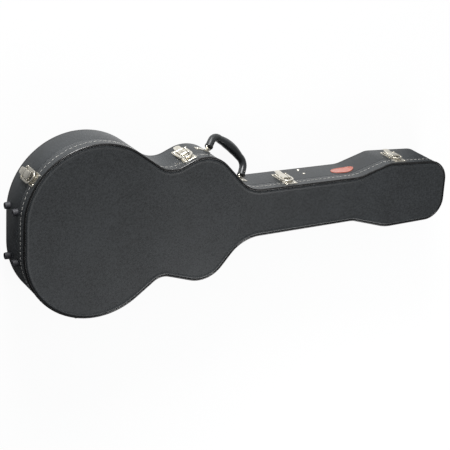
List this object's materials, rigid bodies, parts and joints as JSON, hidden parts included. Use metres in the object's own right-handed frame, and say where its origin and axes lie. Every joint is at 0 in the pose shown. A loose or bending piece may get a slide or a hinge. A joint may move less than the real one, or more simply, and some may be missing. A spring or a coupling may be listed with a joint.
{
  "type": "electric guitar hard case",
  "caption": "Shaped hard case for an electric guitar: hinged padded lid, draw latches, folding handle, rubber feet on the butt and a lined inside with an accessory compartment.",
  "frame": {"origin": "on the resting face of the back panel, on the neck axis, halfway along the case", "axes": "+X along the neck axis toward the headstock end, +Y toward the handle side, +Z from the back panel to the lid face"},
  "size_m": [1.0685, 0.4031, 0.1075],
  "materials": {
    "vinyl_covered_board": "fine pebble grain, satin",
    "edge_bead": "smooth satin",
    "nickel_hardware": "nickel plated, polished",
    "plush_lining": "short pile",
    "stained_board": "matt",
    "foot_rubber": "matt",
    "moulded_plastic": "satin",
    "badge_enamel": "satin enamel",
    "pull_leather": "matt"
  },
  "bodies": {
    "base": {"base_back_panel": "vinyl_covered_board", "base_edge_bead": "edge_bead", "base_floor_pad": "plush_lining", "base_inner_lip": "stained_board", "base_side_band": "vinyl_covered_board", "base_side_pad": "plush_lining", "compartment_hinge_rail": "stained_board", "foot_handle_high": "foot_rubber", "foot_handle_low": "foot_rubber", "foot_spine_high": "foot_rubber", "foot_spine_low": "foot_rubber", "handle_bracket_left": "nickel_hardware", "handle_bracket_right": "nickel_hardware", "hinge_bout_base_leaf": "nickel_hardware", "hinge_bout_pin": "nickel_hardware", "hinge_butt_base_leaf": "nickel_hardware", "hinge_butt_pin": "nickel_hardware", "hinge_head_base_leaf": "nickel_hardware", "hinge_head_pin": "nickel_hardware", "latch_butt_plate": "nickel_hardware", "latch_head_plate": "nickel_hardware", "latch_neck_plate": "nickel_hardware", "latch_upper_bout_plate": "nickel_hardware", "neck_cradle": "plush_lining", "oval_badge": "badge_enamel", "partition_body": "stained_board", "partition_head": "stained_board", "partition_rivet_high": "nickel_hardware", "partition_rivet_low": "nickel_hardware"},
    "lid": {"hinge_bout_lid_leaf": "nickel_hardware", "hinge_butt_lid_leaf": "nickel_hardware", "hinge_head_lid_leaf": "nickel_hardware", "latch_butt_strike": "nickel_hardware", "latch_head_strike": "nickel_hardware", "latch_neck_strike": "nickel_hardware", "latch_upper_bout_strike": "nickel_hardware", "lid_edge_bead": "edge_bead", "lid_face_pad": "plush_lining", "lid_face_panel": "vinyl_covered_board", "lid_side_band": "vinyl_covered_board", "lid_side_pad": "plush_lining"},
    "lever_butt": {"latch_butt_lever": "nickel_hardware"},
    "hasp_butt": {"latch_butt_hasp": "nickel_hardware"},
    "lever_upper_bout": {"latch_upper_bout_lever": "nickel_hardware"},
    "hasp_upper_bout": {"latch_upper_bout_hasp": "nickel_hardware"},
    "lever_neck": {"latch_neck_lever": "nickel_hardware"},
    "hasp_neck": {"latch_neck_hasp": "nickel_hardware"},
    "lever_head": {"latch_head_lever": "nickel_hardware"},
    "hasp_head": {"latch_head_hasp": "nickel_hardware"},
    "key_lock": {"key_lock_barrel": "nickel_hardware"},
    "handle": {"handle_grip": "moulded_plastic", "handle_loop_left": "nickel_hardware", "handle_loop_right": "nickel_hardware"},
    "compartment_lid": {"compartment_lid": "plush_lining", "compartment_pull_tab": "pull_leather"}
  },
  "joints": [
    {"name": "lid_hinge", "type": "hinge", "parent": "base", "child": "lid", "pos_m": [-0.33956, -0.19103, 0.0705], "axis": [0.9913, 0.1315, 0], "range_deg": [0, 100]},
    {"name": "lever_butt", "type": "hinge", "parent": "base", "child": "lever_butt", "pos_m": [-0.50394, 0.1347, 0.0665], "axis": [0.5235, 0.8521, 0], "range_deg": [0, 110]},
    {"name": "hasp_butt", "type": "hinge", "parent": "lever_butt", "child": "hasp_butt", "pos_m": [-0.50394, 0.1347, 0.043], "axis": [0.5235, 0.8521, 0], "range_deg": [-110, 0]},
    {"name": "lever_upper_bout", "type": "hinge", "parent": "base", "child": "lever_upper_bout", "pos_m": [-0.14875, 0.14365, 0.0665], "axis": [0.9534, 0.3017, 0], "range_deg": [0, 110]},
    {"name": "hasp_upper_bout", "type": "hinge", "parent": "lever_upper_bout", "child": "hasp_upper_bout", "pos_m": [-0.14875, 0.14365, 0.043], "axis": [0.9534, 0.3017, 0], "range_deg": [-110, 0]},
    {"name": "lever_neck", "type": "hinge", "parent": "base", "child": "lever_neck", "pos_m": [0.11105, 0.05814, 0.0665], "axis": [1, -0.0082, 0], "range_deg": [0, 110]},
    {"name": "hasp_neck", "type": "hinge", "parent": "lever_neck", "child": "hasp_neck", "pos_m": [0.11105, 0.05814, 0.043], "axis": [1, -0.0082, 0], "range_deg": [-110, 0]},
    {"name": "lever_head", "type": "hinge", "parent": "base", "child": "lever_head", "pos_m": [0.40537, 0.0779, 0.0665], "axis": [0.9979, -0.064, 0], "range_deg": [0, 110]},
    {"name": "hasp_head", "type": "hinge", "parent": "lever_head", "child": "hasp_head", "pos_m": [0.40537, 0.0779, 0.043], "axis": [0.9979, -0.064, 0], "range_deg": [-110, 0]},
    {"name": "key_lock", "type": "hinge", "parent": "lever_upper_bout", "child": "key_lock", "pos_m": [-0.14911, 0.14479, 0.0545], "axis": [-0.3017, 0.9534, 0], "range_deg": [0, 90]},
    {"name": "handle_swing", "type": "hinge", "parent": "base", "child": "handle", "pos_m": [-0.03518, 0.1013, 0.0414], "axis": [0.7509, -0.6604, 0], "range_deg": [-10, 80]},
    {"name": "compartment_lid", "type": "hinge", "parent": "base", "child": "compartment_lid", "pos_m": [0.1125, -0.03106, 0.0487], "axis": [1, 0, 0], "range_deg": [0, 38]}
  ],
  "couplings": [
    {"joint": "hasp_butt", "follows": "lever_butt", "ratio": -1},
    {"joint": "hasp_upper_bout", "follows": "lever_upper_bout", "ratio": -1},
    {"joint": "hasp_neck", "follows": "lever_neck", "ratio": -1},
    {"joint": "hasp_head", "follows": "lever_head", "ratio": -1}
  ]
}
